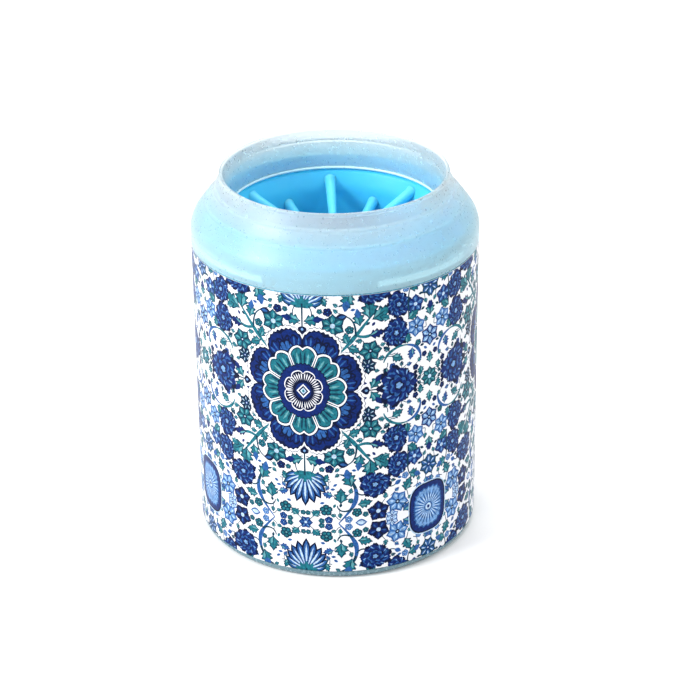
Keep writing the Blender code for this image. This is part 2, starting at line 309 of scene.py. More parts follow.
def rounded(points, closed=False, steps=5):
    """A profile with arcs at its corners. Each point is (radius, z) or (radius, z, fillet radius)."""
    made = []
    last = len(points) - 1
    for i, point in enumerate(points):
        corner = Vector(point[:2])
        fillet = point[2] if len(point) > 2 else 0
        if not fillet or (not closed and i in (0, last)):
            made.append(tuple(corner))
            continue
        back = (Vector(points[i - 1][:2]) - corner).normalized()
        ahead = (Vector(points[(i + 1) % len(points)][:2]) - corner).normalized()
        half = back.angle(ahead) / 2
        tangent = fillet / math.tan(half)
        centre = corner + (back + ahead).normalized() * (fillet / math.sin(half))
        start = corner + back * tangent - centre
        end = corner + ahead * tangent - centre
        for k in range(steps + 1):
            made.append(tuple(centre + start.slerp(end, k / steps) * fillet))
    return made


def finish_piece(bm, name, material, body, node, sharp=40):
    """Makes the bmesh a smooth piece that rides on a body and stands for a CAD node."""
    bmesh.ops.recalc_face_normals(bm, faces=bm.faces)
    mesh = bpy.data.meshes.new(name)
    bm.to_mesh(mesh)
    bm.free()
    mesh.shade_smooth()
    mesh.set_sharp_from_angle(angle=math.radians(sharp))
    mesh.materials.append(material)
    piece = bpy.data.objects.new(name, mesh)
    bpy.context.scene.collection.objects.link(piece)
    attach(piece, body)
    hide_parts(node)


def turned(radius, z, angle):
    """A point in metres from a radius and a height in millimetres and an angle from the front."""
    return (radius * MM * math.sin(angle), -radius * MM * math.cos(angle), z * MM)


def spin(bm, profile, closed, steps=TURN_STEPS):
    """Adds a solid of revolution about Z. An open profile starts and ends on the axis."""
    rings = []
    for radius, z in profile:
        if radius < 1e-6:
            rings.append([bm.verts.new((0, 0, z * MM))])
            continue
        rings.append([bm.verts.new(turned(radius, z, TAU * k / steps)) for k in range(steps)])
    pairs = list(zip(rings, rings[1:]))
    if closed:
        pairs.append((rings[-1], rings[0]))
    for upper, lower in pairs:
        for k in range(steps):
            corners = [
                upper[k % len(upper)],
                upper[(k + 1) % len(upper)],
                lower[(k + 1) % len(lower)],
                lower[k % len(lower)],
            ]
            face = list(dict.fromkeys(corners))
            if len(face) > 2:
                bm.faces.new(face)


def add_bar(bm, start, end, inner, outer, low, high, steps=24):
    """A curved block between two angles from the front, two radii and two heights."""
    rows = []
    for k in range(steps + 1):
        a = start + (end - start) * k / steps
        corners = ((inner, low), (outer, low), (outer, high), (inner, high))
        rows.append([bm.verts.new(turned(radius, z, a)) for radius, z in corners])
    for first, second in zip(rows, rows[1:]):
        for k in range(4):
            bm.faces.new((first[k], first[(k + 1) % 4], second[(k + 1) % 4], second[k]))
    bm.faces.new(rows[0])
    bm.faces.new(list(reversed(rows[-1])))


def add_lugs(bm, *lug):
    for k in range(LUGS):
        turn = TAU * k / LUGS
        add_bar(bm, lug[0] + turn, lug[1] + turn, *lug[2:])


# ---------------------------------------------------------------- turned pieces


def make_cup(material):
    bm = bmesh.new()
    inner = CUP_WALL_RADIUS - CUP_WALL
    neck_inner = NECK_RADIUS - CUP_WALL
    profile = [
        (0, CUP_FLOOR_Z),
        (inner, CUP_FLOOR_Z, 4.0),
        (inner, SHELF_Z - SHELF_INNER_LOW, 0.6),
        (neck_inner, SHELF_Z - SHELF_INNER_TOP, 0.6),
        (neck_inner, CUP_RIM_Z, 0.5),
        (NECK_RADIUS, CUP_RIM_Z, 0.5),
        (NECK_RADIUS, SHELF_Z, 0.3),
        (CUP_WALL_RADIUS, SHELF_Z, 0.15),
        (CUP_WALL_RADIUS, BASE_EDGE_Z),
        (CUP_EDGE_RADIUS, BASE_EDGE_Z, 0.15),
        (CUP_EDGE_RADIUS - BASE_EDGE_DRAFT, BASE_FILLET_Z, 1.2),
        (BASE_FLAT_RADIUS, BASE_Z, 0.4),
        (0, BASE_Z),
    ]
    spin(bm, rounded(profile), closed=False)
    add_lugs(bm, *CUP_LUG)
    add_lugs(bm, *STOP_LEG)
    finish_piece(bm, "cup_shell", material, "cup", "cup_body")


def make_insert(material):
    """The whole silicone moulding but for its bristles."""
    bm = bmesh.new()
    half = INSERT_LIP_THICK / 2
    flange_top = FLANGE_Z + FLANGE_THICK
    profile = [
        (SLEEVE_LOW_RADIUS, SLEEVE_LOW_Z, 0.8),
        (*SLEEVE_BEND, 14.0),
        (*SLEEVE_MOUTH, 1.2),
        (INSERT_LIP_RADIUS - half - LIP_FOOT_WIDTH, SLEEVE_MOUTH[1] + LIP_FOOT_RISE, 0.8),
        (INSERT_LIP_RADIUS - half, INSERT_LIP_Z, 0.8),
        (INSERT_LIP_RADIUS + half, INSERT_LIP_Z, 0.8),
        (INSERT_LIP_RADIUS + half, flange_top, 0.6),
        (FLANGE_RADIUS, flange_top, 0.5),
        (FLANGE_RADIUS, FLANGE_Z, 0.5),
        (PLUG_RADIUS, FLANGE_Z),
        (PLUG_RADIUS, PLUG_LOW_Z, 0.6),
        (PLUG_RADIUS - PLUG_WALL, PLUG_LOW_Z, 0.6),
        (PLUG_RADIUS - PLUG_WALL, FLANGE_Z, 0.5),
        (*SLEEVE_TOP, 1.0),
        (SLEEVE_LOW_RADIUS + SLEEVE_WALL, SLEEVE_LOW_Z, 0.8),
    ]
    spin(bm, rounded(profile, closed=True), closed=True)
    finish_piece(bm, "insert_sleeve", material, "insert", "brush_sleeve")


def sleeve_inner_radius(z):
    low, high = (SLEEVE_LOW_RADIUS, SLEEVE_LOW_Z), SLEEVE_BEND
    if z > SLEEVE_BEND[1]:
        low, high = SLEEVE_BEND, SLEEVE_MOUTH
    return low[0] + (high[0] - low[0]) * (z - low[1]) / (high[1] - low[1])


def bristle_profile():
    """(radius, distance from the root) from the flared root to the domed tip."""
    points = []
    for k in range(6):
        share = k / 5
        radius = BRISTLE_STEM_RADIUS + FLARE_WIDTH * (1 - share) ** 2
        points.append((radius, FLARE_LENGTH * share - BRISTLE_EMBED))
    points.append((BRISTLE_MIDDLE[0], BRISTLE_LENGTH * BRISTLE_MIDDLE[1]))
    for k in range(5):
        a = math.pi / 2 * k / 4
        points.append((BRISTLE_TIP * math.cos(a), BRISTLE_LENGTH - BRISTLE_TIP * (1 - math.sin(a))))
    points[-1] = (0, BRISTLE_LENGTH)
    return points


def make_bristles(material):
    bm = bmesh.new()
    profile = [(0, -BRISTLE_EMBED)] + bristle_profile()
    for row in range(BRISTLE_ROWS):
        z = BRISTLE_TOP_Z - BRISTLE_PITCH * row
        for column in range(BRISTLE_COLUMNS):
            angle = BRISTLE_PHASE + TAU * (column + row % 2 / 2) / BRISTLE_COLUMNS
            outward = Vector((math.sin(angle), math.cos(angle), 0))
            root = outward * sleeve_inner_radius(z - BRISTLE_ROOT_RADIUS) + Vector((0, 0, z))
            aim = -outward * math.cos(BRISTLE_DROOP) - Vector((0, 0, math.sin(BRISTLE_DROOP)))
            turn = aim.to_track_quat("Z", "Y").to_matrix().to_4x4()
            before = len(bm.verts)
            spin(bm, profile, closed=False, steps=16)
            bm.verts.ensure_lookup_table()
            bmesh.ops.transform(bm, matrix=Matrix.Translation(root * MM) @ turn, verts=bm.verts[before:])
    finish_piece(bm, "bristles", material, "insert", "brush_bristles", sharp=80)


def beaded(points):
    """The shoulder with two fine raised moulding lines."""
    made = []
    for radius, z in points:
        lift = sum(math.exp(-(((z - bead) / SHOULDER_BEAD_WIDTH) ** 2)) for bead in SHOULDER_BEADS)
        made.append((radius + SHOULDER_BEAD_LIFT[0] * lift, z + SHOULDER_BEAD_LIFT[1] * lift))
    return made


def make_collar(material):
    bm = bmesh.new()
    neck = (RIM_RADIUS - RIM_STEP, NECK_TOP_Z)
    shoulder = bezier(neck, *SHOULDER_HANDLES, (COLLAR_RADIUS, SKIRT_TOP_Z), SHOULDER_STEPS)
    inside = [p for p in offset_inward(shoulder, COLLAR_WALL) if p[1] < NECK_TOP_Z - SHOULDER_WEB][::4]
    skirt_inner = COLLAR_RADIUS - COLLAR_WALL
    joint = TUBE_LOW_RADIUS + (TUBE_TOP_RADIUS - TUBE_LOW_RADIUS) * TUBE_JOINT_SHARE + TUBE_WALL
    profile = [(RIM_RADIUS, TOP_Z, 0.62), (RIM_RADIUS, NECK_TOP_Z + RIM_BEAD_RISE, 0.3)]
    profile += beaded(shoulder)
    profile += [(COLLAR_RADIUS, SEAM_Z, 0.5), (skirt_inner, SEAM_Z, 0.4)]
    profile += list(reversed(inside))
    profile += [
        (joint, inside[0][1] - TUBE_JOINT_DROP, 0.4),
        (TUBE_LOW_RADIUS + TUBE_WALL, TUBE_LOW_Z, 0.5),
        (TUBE_LOW_RADIUS, TUBE_LOW_Z, 0.5),
        (TUBE_TOP_RADIUS, TOP_Z, 0.62),
    ]
    spin(bm, rounded(profile, closed=True), closed=True)
    finish_piece(bm, "collar_shell", material, "collar", "collar")


def make_collar_lugs(material):
    """The collar's four bayonet lugs, which show whiter through the skirt, where the plastic is thicker."""
    bm = bmesh.new()
    add_lugs(bm, *COLLAR_LUG)
    finish_piece(bm, "collar_lugs", material, "collar", "collar")


def make_tube_edge(material):
    """The moulded bead around the lower end of the collar's inner tube, which catches the light."""
    bm = bmesh.new()
    middle = TUBE_LOW_RADIUS + TUBE_WALL / 2
    width, height = TUBE_BEAD
    angles = [TAU * k / 16 for k in range(16)]
    z = TUBE_LOW_Z + TUBE_BEAD_LIFT
    bead = [(middle + width * math.cos(a), z + height * math.sin(a)) for a in angles]
    spin(bm, bead, closed=True)
    finish_piece(bm, "tube_edge", material, "collar", "collar")


# ---------------------------------------------------------------- the print

FILM_WHITE = srgb(217, 219, 224)
DEEP = srgb(2, 14, 48)
NAVY = srgb(6, 32, 92)
BLUE = srgb(36, 80, 138)
SKY = srgb(102, 142, 188)
PALE = srgb(166, 190, 214)
TEAL = srgb(24, 98, 112)
DARK_TEAL = srgb(6, 50, 70)
MINT = srgb(84, 142, 150)

# Inks of the small fillers: (leaf, edge), (edge, petal, glint) and a single ink
LEAF_INKS = ((TEAL, DARK_TEAL), (TEAL, DARK_TEAL), (BLUE, NAVY), (DARK_TEAL, DEEP))
BUD_INKS = ((DEEP, NAVY, BLUE), (NAVY, BLUE, SKY), (BLUE, SKY, PALE), (DARK_TEAL, TEAL, MINT))
SPECK_INKS = (NAVY, DARK_TEAL, TEAL, BLUE)
FILLER_SEED = 7
FILLER_TRIES = 5200
SMALLEST_FILLER = 0.85
LARGEST_FILLER = 2.9

MEDALLION_ANGLE = math.radians(-13)
MEDALLION_Z = 77.0
CELL_WIDTH = 47.5
CELL_HEIGHT = 53.5
COLUMNS = 16
COLUMN_PITCH = CELL_WIDTH / COLUMNS
FILM_SEAM = 0.08


class Drawing:
    """Filled outlines in the order they are painted, later ones on top, and the circles they take up."""

    def __init__(self):
        self.outlines = []
        self.taken = []

    def fill(self, points, colour):
        self.outlines.append(([Vector(p) for p in points], colour))

    def take(self, x, y, radius):
        self.taken.append((x, y, radius))

    def free(self, x, y):
        """How far the nearest taken circle is."""
        return min((math.hypot(x - cx, y - cy) - r for cx, cy, r in self.taken), default=99.0)


def polar(x, y, radius_at, count, phase=0.0):
    angles = [phase + TAU * k / count for k in range(count)]
    return [(x + radius_at(a) * math.cos(a), y + radius_at(a) * math.sin(a)) for a in angles]


def disc(art, x, y, radius, colour, count=12):
    art.fill(polar(x, y, lambda a: radius, count), colour)


def petal(art, x, y, angle, length, width, colour, belly=0.6, count=5, teeth=0.0):
    """A leaf or petal from its foot at (x, y). belly is where it is widest; teeth notches its edges."""
    along = Vector((math.cos(angle), math.sin(angle)))
    across = Vector((-along.y, along.x))
    left = []
    right = []
    for k in range(1, count + 1):
        t = k / (count + 1)
        power = math.log(0.5) / math.log(belly)
        half = width / 2 * math.sin(math.pi * t**power)
        if teeth:
            half *= 1 + teeth * (1 if k % 2 else -1)
        spine = Vector((x, y)) + along * (t * length)
        left.append(spine + across * half)
        right.append(spine - across * half)
    tip = Vector((x, y)) + along * length
    art.fill([Vector((x, y))] + right + [tip] + left[::-1], colour)


# (how far along the leaf, half its width there as a share of the widest half)
LEAF_LOBES = (
    (0.1, 0.34),
    (0.2, 0.8),
    (0.27, 1.0),
    (0.33, 0.62),
    (0.46, 0.98),
    (0.52, 0.92),
    (0.56, 0.5),
    (0.7, 0.62),
    (0.75, 0.34),
)


def lobed_leaf(art, x, y, angle, length, width, colour, bend=0.0):
    along = Vector((math.cos(angle), math.sin(angle)))
    across = Vector((-along.y, along.x))
    sides = ([], [])
    for t, half in LEAF_LOBES:
        spine = Vector((x, y)) + along * (t * length) + across * (bend * length * t * t)
        sides[0].append(spine - across * (half * width / 2) + along * (0.06 * length))
        sides[1].append(spine + across * (half * width / 2) + along * (0.06 * length))
    tip = Vector((x, y)) + along * length + across * (bend * length)
    art.fill([Vector((x, y))] + sides[0] + [tip] + sides[1][::-1], colour)


def leaf(art, x, y, angle, length, width, colour=TEAL, shade=DARK_TEAL, tip=None, take=True):
    """A lobed leaf with a darker edge, a pale vein and sometimes a coloured tip."""
    bend = 0.16 * math.sin(7 * x + 3 * y)
    lobed_leaf(art, x, y, angle, length * 1.08, width * 1.3, shade, bend)
    inset = Vector((math.cos(angle), math.sin(angle))) * length * 0.07
    lobed_leaf(art, x + inset.x, y + inset.y, angle, length * 0.88, width * 0.98, colour, bend)
    petal(art, x + inset.x, y + inset.y, angle + 0.3 + bend, length * 0.55, width * 0.26, MINT, count=3)
    petal(art, x, y, angle + bend * 0.6, length * 0.8, max(0.22, width * 0.1), shade, belly=0.4, count=2)
    if tip:
        away = Vector((math.cos(angle), math.sin(angle))) * length * 0.5
        petal(art, x + away.x, y + away.y, angle + bend, length * 0.62, width * 0.62, tip, belly=0.4, count=4)
    if take:
        middle = Vector((math.cos(angle), math.sin(angle))) * length / 2
        art.take(x + middle.x, y + middle.y, max(length * 0.46, width * 0.6))


def stroke(art, points, widths, colour, count=14, take=True):
    """A brush stroke along a cubic curve, its width running through widths."""
    middle = [Vector(p) for p in bezier(*points, count)]
    left = []
    right = []
    for k, point in enumerate(middle):
        along = (middle[min(k + 1, count)] - middle[max(k - 1, 0)]).normalized()
        across = Vector((-along.y, along.x))
        place = k / count * (len(widths) - 1)
        low = min(int(place), len(widths) - 2)
        half = (widths[low] + (widths[low + 1] - widths[low]) * (place - low)) / 2
        left.append(point + across * half)
        right.append(point - across * half)
        if take and k % 3 == 0:
            art.take(point.x, point.y, 0.5)
    art.fill(right + left[::-1], colour)


def petal_from(art, x, y, angle, foot, turn, *look):
    """A petal whose foot is some way out from (x, y), turned from the direction in which it lies."""
    petal(art, x + foot * math.cos(angle), y + foot * math.sin(angle), angle + turn, *look)


def ring_of(art, x, y, count, foot, length, width, colour, phase=0.0, belly=0.62, steps=4, teeth=0.0):
    for k in range(count):
        angle = phase + TAU * k / count
        petal_from(art, x, y, angle, foot, 0.0, length, width, colour, belly, steps, teeth)


def blossom(art, x, y, radius, rim, fill, glint, heart, count=6, phase=0.3):
    """A small star-like flower in two layers of pointed petals, with glints and a dark heart."""
    width = radius * 1.3 * math.sin(math.pi / count)
    step = math.pi / count
    ring_of(art, x, y, count, 0.0, radius * 0.92, width * 1.1, rim, phase + step, 0.56, 5, 0.14)
    ring_of(art, x, y, count, radius * 0.1, radius * 0.66, width * 0.62, fill, phase + step, 0.56, 3)
    ring_of(art, x, y, count, 0.0, radius * 1.2, width * 1.15, rim, phase, 0.56, 6, 0.16)
    ring_of(art, x, y, count, radius * 0.14, radius * 0.88, width * 0.7, fill, phase, 0.56, 4, 0.1)
    ring_of(art, x, y, count, radius * 0.34, radius * 0.5, width * 0.24, glint, phase + 0.1, 0.6, 2)
    disc(art, x, y, radius * 0.24, heart, 7)
    disc(art, x, y, radius * 0.1, PALE, 5)
    art.take(x, y, radius)


def carnation(art, x, y, radius, phase=0.0):
    """A full ruffled flower: ragged navy layers that tighten and lighten towards its middle."""
    for size, colour, lobes, depth in (
        (1.2, DEEP, 9, 0.26),
        (1.1, NAVY, 9, 0.27),
        (0.92, BLUE, 8, 0.3),
        (0.86, NAVY, 8, 0.32),
        (0.66, DEEP, 7, 0.3),
        (0.6, BLUE, 7, 0.34),
        (0.48, NAVY, 6, 0.34),
        (0.3, DEEP, 5, 0.36),
        (0.2, SKY, 5, 0.4),
    ):
        spin_by = phase + size * 2.3

        def ruffle(a, size=size, lobes=lobes, depth=depth, spin_by=spin_by):
            wave = abs(math.sin(lobes * (a + spin_by) / 2)) ** 0.7
            sway = 1 + 0.08 * math.sin(2 * a + 5 * phase + x) + 0.07 * math.sin(3 * a + 1.7 + y)
            fringe = 0.04 * math.sin(4 * lobes * a + spin_by)
            return radius * size * sway * (1 - depth + depth * wave + fringe)

        art.fill(polar(x, y, ruffle, max(20, round(56 * size))), colour)
    for k in range(9):
        angle = phase + TAU * k / 9 + 0.2
        petal_from(art, x, y, angle, radius * 0.68, 0.5, radius * 0.34, radius * 0.1, SKY, 0.6, 2)
    art.take(x, y, radius * 1.1)


def heart_bud(art, x, y, angle, size):
    """A small navy bud with a pale glint."""
    petal(art, x, y, angle, size, size * 0.95, DEEP, 0.35, 5)
    petal_from(art, x, y, angle, size * 0.22, 0.0, size * 0.36, size * 0.3, SKY, 0.5, 3)
    art.take(x + math.cos(angle) * size / 2, y + math.sin(angle) * size / 2, size * 0.55)


def lobed(radius, depth, phase=0.0, ruffle=0.0):
    """Eight round lobes whose notches are at phase, with a fine ruffle along their edges."""

    def at(a):
        t = ((a - phase) / (TAU / 8)) % 1 * 2 - 1
        return radius * (1 - depth * abs(t) ** 3.2 + ruffle * abs(math.sin(5 * math.pi * t)))

    return at


def fan_petal(art, angle, inner, outer, half, colour, depth=0.12, cleft=0.05):
    """A broad petal between two radii about the origin, with round shoulders and a small cleft."""
    points = []
    for k in range(15):
        t = k / 7 - 1
        radius = outer * (1 - depth * abs(t) ** 3.2 - cleft * math.exp(-((t / 0.16) ** 2)))
        points.append((radius * math.cos(angle + half * t), radius * math.sin(angle + half * t)))
    for t in (0.9, 0.3, -0.3, -0.9):
        points.append((inner * math.cos(angle + half * t), inner * math.sin(angle + half * t)))
    art.fill(points, colour)


def medallion(art):
    """The large rosette: ruffled navy lobes, white-edged teal petals and a lined flower."""
    first = len(art.outlines)
    art.fill(polar(0, 0, lobed(21.5, 0.16, ruffle=0.02), 160), DEEP)
    art.fill(polar(0, 0, lobed(21.25, 0.16, ruffle=0.02), 160), FILM_WHITE)
    art.fill(polar(0, 0, lobed(20.4, 0.17, ruffle=0.025), 160), DEEP)
    for k in range(8):
        a = TAU * (k + 0.5) / 8
        fan_petal(art, a, 9.0, 20.2, 0.37, NAVY, 0.16)
        for turn in (-0.26, 0.26):
            fan_petal(art, a + turn * 0.62, 10.0, 18.6, 0.16, DEEP, 0.1)
            fan_petal(art, a + turn * 0.62, 10.0, 18.0, 0.14, NAVY, 0.1)
        fan_petal(art, a, 10.0, 17.4, 0.17, DEEP, 0.12)
        fan_petal(art, a, 10.0, 16.8, 0.15, BLUE, 0.12)
        for turn in (-0.29, -0.2, -0.1, 0.0, 0.1, 0.2, 0.29):
            shade = DEEP if abs(turn) < 0.15 else BLUE
            petal_from(art, 0, 0, a + turn, 14.0, turn * 0.6, 5.2 - 6 * abs(turn), 0.62, shade, 0.6, 3)
    art.fill(polar(0, 0, lobed(15.1, 0.1, TAU / 16), 96), DEEP)
    for k in range(8):
        a = TAU * k / 8
        fan_petal(art, a, 6.0, 14.9, 0.385, FILM_WHITE, 0.14, 0.07)
        fan_petal(art, a, 6.0, 14.35, 0.352, DARK_TEAL, 0.14, 0.08)
        fan_petal(art, a, 6.0, 14.0, 0.33, TEAL, 0.14, 0.09)
        for turn in (-0.27, -0.16, -0.06, 0.06, 0.16, 0.27):
            shade = MINT if abs(turn) == 0.16 else DARK_TEAL
            petal_from(art, 0, 0, a + turn, 8.0, turn * 0.1, 5.4 - 5 * abs(turn), 0.75, shade, 0.6, 3)
    art.fill(polar(0, 0, lobed(8.9, 0.06, TAU / 16, 0.05), 120), DEEP)
    art.fill(polar(0, 0, lobed(8.5, 0.06, TAU / 16, 0.05), 120), NAVY)
    art.fill(polar(0, 0, lobed(6.9, 0.16), 64), FILM_WHITE)
    art.fill(polar(0, 0, lobed(6.55, 0.16), 64), DEEP)
    ring_of(art, 0, 0, 40, 3.5, 2.6, 0.4, FILM_WHITE, 0.05, 0.6, 2)
    disc(art, 0, 0, 3.3, DEEP, 24)
    disc(art, 0, 0, 2.7, NAVY, 20)
    for size, colour in ((2.3, FILM_WHITE), (1.75, DEEP), (1.1, PALE), (0.55, TEAL)):
        disc(art, 0, 0, size, colour, 4)
    for points, _ in art.outlines[first:]:
        for point in points:
            point.x *= 1.05
            point.y *= 1.2
    for y in (-17.0, 0.0, 17.0):
        art.take(0, y, 9.0)
    art.take(0, 0, 20.8)


def lotus(art, x, y):
    """A fan of striped petals hanging from a teal cup at (x, y)."""
    fan = [(-1.32, 7.6), (1.32, 7.6), (-1.05, 9.4), (1.05, 9.4), (-0.78, 10.6), (0.78, 10.6)]
    fan += [(-0.52, 11.6), (0.52, 11.6), (-0.27, 12.6), (0.27, 12.6), (0.0, 13.6)]
    for turn, length in fan:
        a = math.pi / 2 + turn
        rim = DARK_TEAL if abs(turn) > 0.9 else DEEP
        petal(art, x, y, a, length, 3.3, rim, 0.68, 5)
        petal(art, x, y, a, length * 0.92, 2.2, BLUE, 0.68, 4)
        petal_from(art, x, y, a, 0.25, 0.0, length * 0.78, 0.8, PALE, 0.66, 3)
    for turn in (-1.2, -0.6, 0.0, 0.6, 1.2):
        petal(art, x, y - 0.8, math.pi / 2 + turn, 4.6, 2.0, TEAL, 0.5, 4)
    art.take(x, y + 6, 6.8)
    art.take(x, y + 11, 3.0)


def oval_flower(art, x, y):
    """The corner's navy oval with a pale many-rayed flower in it."""

    def squarish(width, height, ripple=0.0):
        def radius(a):
            c = abs(math.cos(a)) / width
            s = abs(math.sin(a)) / height
            return (c**3.2 + s**3.2) ** (-1 / 3.2) * (1 + ripple * math.cos(24 * a))

        return radius

    art.fill(polar(x, y, squarish(9.0, 10.8), 56), PALE)
    art.fill(polar(x, y, squarish(8.6, 10.4), 56), DEEP)
    art.fill(polar(x, y, squarish(8.0, 9.8), 56), NAVY)
    art.fill(polar(x, y, squarish(6.5, 8.2, 0.05), 72), BLUE)
    art.fill(polar(x, y, squarish(5.9, 7.6, 0.05), 72), SKY)
    ring_of(art, x, y, 24, 1.8, 5.4, 0.62, BLUE, TAU / 48, 0.6, 3)
    ring_of(art, x, y, 24, 2.0, 3.6, 0.4, PALE, 0.0, 0.6, 2)
    disc(art, x, y, 2.0, BLUE, 14)
    disc(art, x, y, 1.4, PALE, 12)
    disc(art, x, y, 0.7, NAVY, 8)
    art.take(x, y, 9.8)


def axis_motifs(art):
    """What sits on the cell's upright and level edges, and so is mirrored onto itself."""
    medallion(art)
    lotus(art, 0, 33.2)
    heart_bud(art, 0, 25.4, -math.pi / 2, 3.4)
    stroke(art, ((0, 25), (0, 28), (0, 30), (0, 34)), (0.5, 0.7), DARK_TEAL, 4)
    stroke(art, ((0.6, 26.2), (4.0, 26.6), (4.0, 31.5), (2.2, 33.2)), (0.35, 0.45, 0.35), DARK_TEAL)
    leaf(art, 0.4, 27.2, 0.15, 6.6, 3.6, tip=NAVY)
    heart_bud(art, 23.6, 0, math.pi, 3.4)
    stroke(art, ((23.2, 0), (25, 0), (27, 0), (29, 0)), (0.5, 0.6), DARK_TEAL, 4)
    leaf(art, 23.8, 0.4, 1.0, 6.4, 3.2, tip=NAVY)
    petal(art, 25.6, 0, 0.0, 4.0, 3.0, DEEP, 0.5, 4, 0.2)
    carnation(art, 34.6, 0, 6.6)
    oval_flower(art, CELL_WIDTH, CELL_HEIGHT)
    blossom(art, 0, CELL_HEIGHT, 2.3, NAVY, BLUE, SKY, PALE, 6, 0)
    leaf(art, 2.6, 50.8, -0.9, 3.6, 3.0)
    stroke(art, ((0.8, 52.6), (1.6, 52), (2.2, 51.4), (3.0, 50.6)), (0.35, 0.3), DARK_TEAL, 4)
    petal(art, 18.0, CELL_HEIGHT, 0.0, 4.4, 3.0, BLUE, 0.5, 5)
    petal(art, 18.6, CELL_HEIGHT, 0.0, 3.2, 1.7, PALE, 0.5, 4)
    art.take(20.4, CELL_HEIGHT, 2.4)
    blossom(art, CELL_WIDTH, 0, 3.4, DARK_TEAL, TEAL, MINT, PALE, 8, 0)
    leaf(art, CELL_WIDTH, 5.4, 1.57, 4.6, 2.6)
    blossom(art, CELL_WIDTH, 16.5, 3.6, NAVY, SKY, PALE, DEEP, 6, 0.52)
    leaf(art, CELL_WIDTH, 24.0, 1.57, 5.4, 3.2, tip=NAVY)
    blossom(art, CELL_WIDTH, 35.8, 3.8, DARK_TEAL, BLUE, PALE, NAVY, 7, 0.1)


def diagonal_sprig(art):
    """A leafy spray that grows outward from the rosette's corner."""
    stroke(art, ((13.4, 15.6), (17.5, 20.0), (20.0, 23.5), (25.0, 30.0)), (0.5, 1.7, 1.2, 0.5), TEAL)
    stroke(art, ((18.6, 21.6), (18.8, 26.0), (17.6, 29.0), (14.2, 29.6)), (0.8, 0.6, 0.4), DARK_TEAL)
    stroke(art, ((19.0, 21.8), (22.0, 20.4), (24.0, 21.4), (25.6, 22.6)), (1.0, 1.2, 0.6), TEAL)
    leaf(art, 23.6, 27.6, 1.55, 8.0, 5.0)
    leaf(art, 24.4, 27.4, 0.45, 8.0, 4.6)
    leaf(art, 20.2, 25.2, 1.75, 6.4, 3.4, tip=BLUE)
    leaf(art, 16.0, 18.4, 1.9, 4.6, 3.0)
    leaf(art, 15.6, 17.4, -0.3, 4.8, 3.2)
    leaf(art, 23.2, 21.2, 0.25, 6.0, 3.0, NAVY, DEEP)
    petal(art, 15.8, 29.4, 3.3, 4.4, 3.0, DEEP, 0.5, 5)
    petal(art, 15.2, 29.4, 3.3, 2.6, 1.2, BLUE, 0.5, 3)
    art.take(14.0, 29.0, 2.0)
    blossom(art, 10.6, 25.8, 3.9, DARK_TEAL, TEAL, MINT, PALE, 6, 0.5)
    blossom(art, 23.8, 15.4, 3.7, DARK_TEAL, TEAL, MINT, DEEP, 6, 0.1)
    blossom(art, 22.8, 9.6, 2.9, DEEP, DARK_TEAL, PALE, NAVY, 7, 0.3)


def lower_vines(art):
    """The curling vines and flowers between the lotus and the corner oval."""
    stroke(art, ((12.0, CELL_HEIGHT), (16.0, 48.6), (19.6, 45.0), (18.2, 39.4)), (0.4, 1.0, 1.9, 1.3), BLUE)
    stroke(art, ((18.2, 39.4), (17.2, 36.0), (14.8, 33.6), (12.8, 33.4)), (1.3, 0.9, 0.4), DARK_TEAL)
    stroke(art, ((17.2, 47.4), (14.6, 49.4), (11.6, 48.6), (11.6, 46.0)), (0.9, 0.6, 0.4), DARK_TEAL)
    stroke(art, ((18.4, 40.6), (19.8, 42.4), (21.0, 42.6), (23.2, 41.2)), (0.5, 0.6, 0.5), DARK_TEAL)
    leaf(art, 12.8, 45.4, -1.5, 6.2, 4.2)
    leaf(art, 16.8, 38.6, -1.9, 7.0, 4.2, tip=BLUE)
    leaf(art, 18.8, 46.0, -0.1, 5.4, 3.2)
    carnation(art, 25.4, 38.4, 4.9, 0.2)
    stroke(art, ((29.6, 39.6), (31.2, 40.6), (32.2, 40.4), (33.4, 39.6)), (0.4, 0.4), DARK_TEAL, 6)
    petal(art, 32.8, 39.9, -0.5, 3.0, 1.9, BLUE, 0.5, 4)
    art.take(34.0, 39.4, 1.4)
    blossom(art, 26.6, 49.6, 3.7, DEEP, NAVY, BLUE, PALE, 5, 0.9)
    blossom(art, 34.0, 47.2, 3.9, BLUE, SKY, PALE, DEEP, 6, 0.2)
    blossom(art, 31.8, 52.6, 2.3, BLUE, PALE, SKY, NAVY, 6, 0.6)
    leaf(art, 37.0, 43.6, -1.2, 5.6, 3.6)
    leaf(art, 36.2, 51.8, -0.7, 4.6, 3.4, BLUE, DARK_TEAL)


